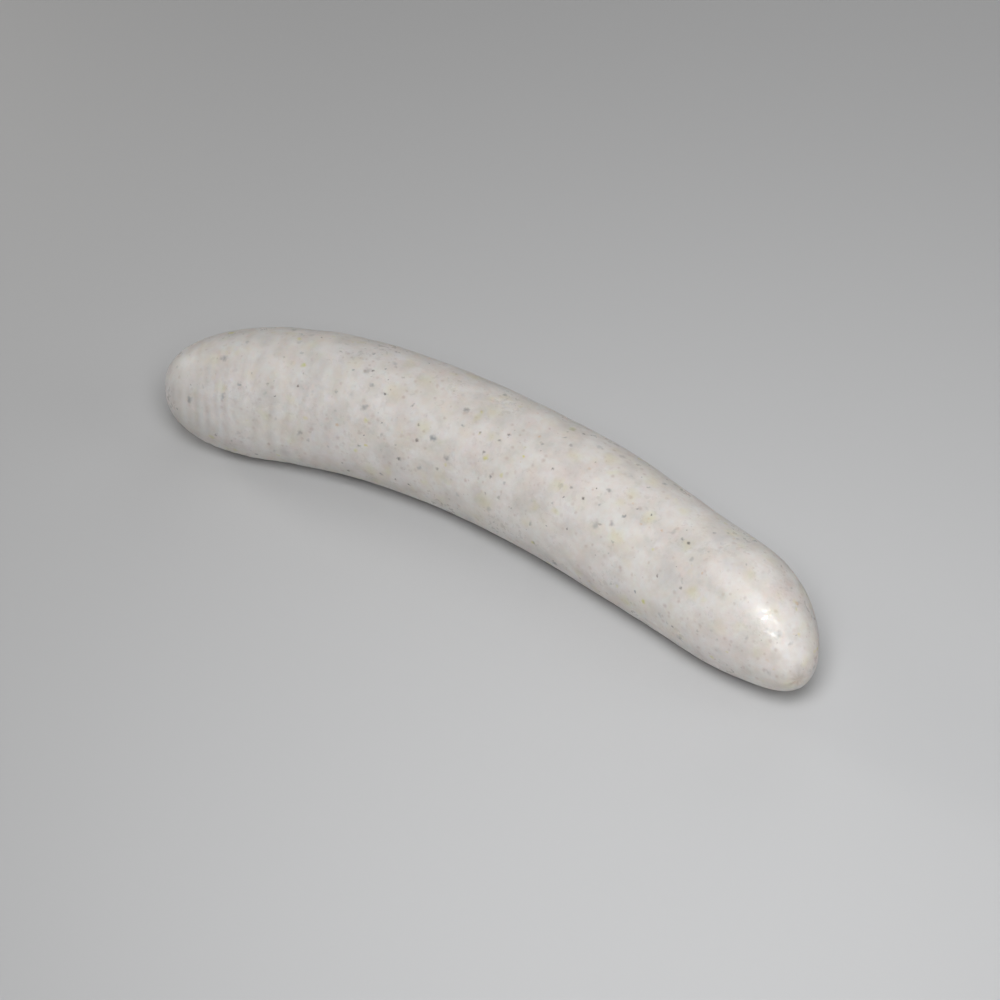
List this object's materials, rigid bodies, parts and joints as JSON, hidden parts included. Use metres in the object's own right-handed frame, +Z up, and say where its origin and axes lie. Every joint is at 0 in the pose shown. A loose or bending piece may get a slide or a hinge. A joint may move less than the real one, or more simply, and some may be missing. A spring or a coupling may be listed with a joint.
{
  "type": "white bratwurst sausage",
  "caption": "Plump pale boiled sausage in natural casing, gently bent, with a blunt end and a slimmer curled-in end, lying flat on its side.",
  "frame": {"origin": "middle of the sausage's box, on the surface that it lies on", "axes": "+X along the chord from the blunt end to the curled end, +Y towards the outer side of the bend, +Z up"},
  "size_m": [0.1698, 0.0416, 0.0307],
  "materials": {
    "casing": "moist pale natural casing over fine white sausage meat, speckled with pepper and herbs"
  },
  "bodies": {
    "root": {"sausage": "casing"}
  },
  "joints": []
}
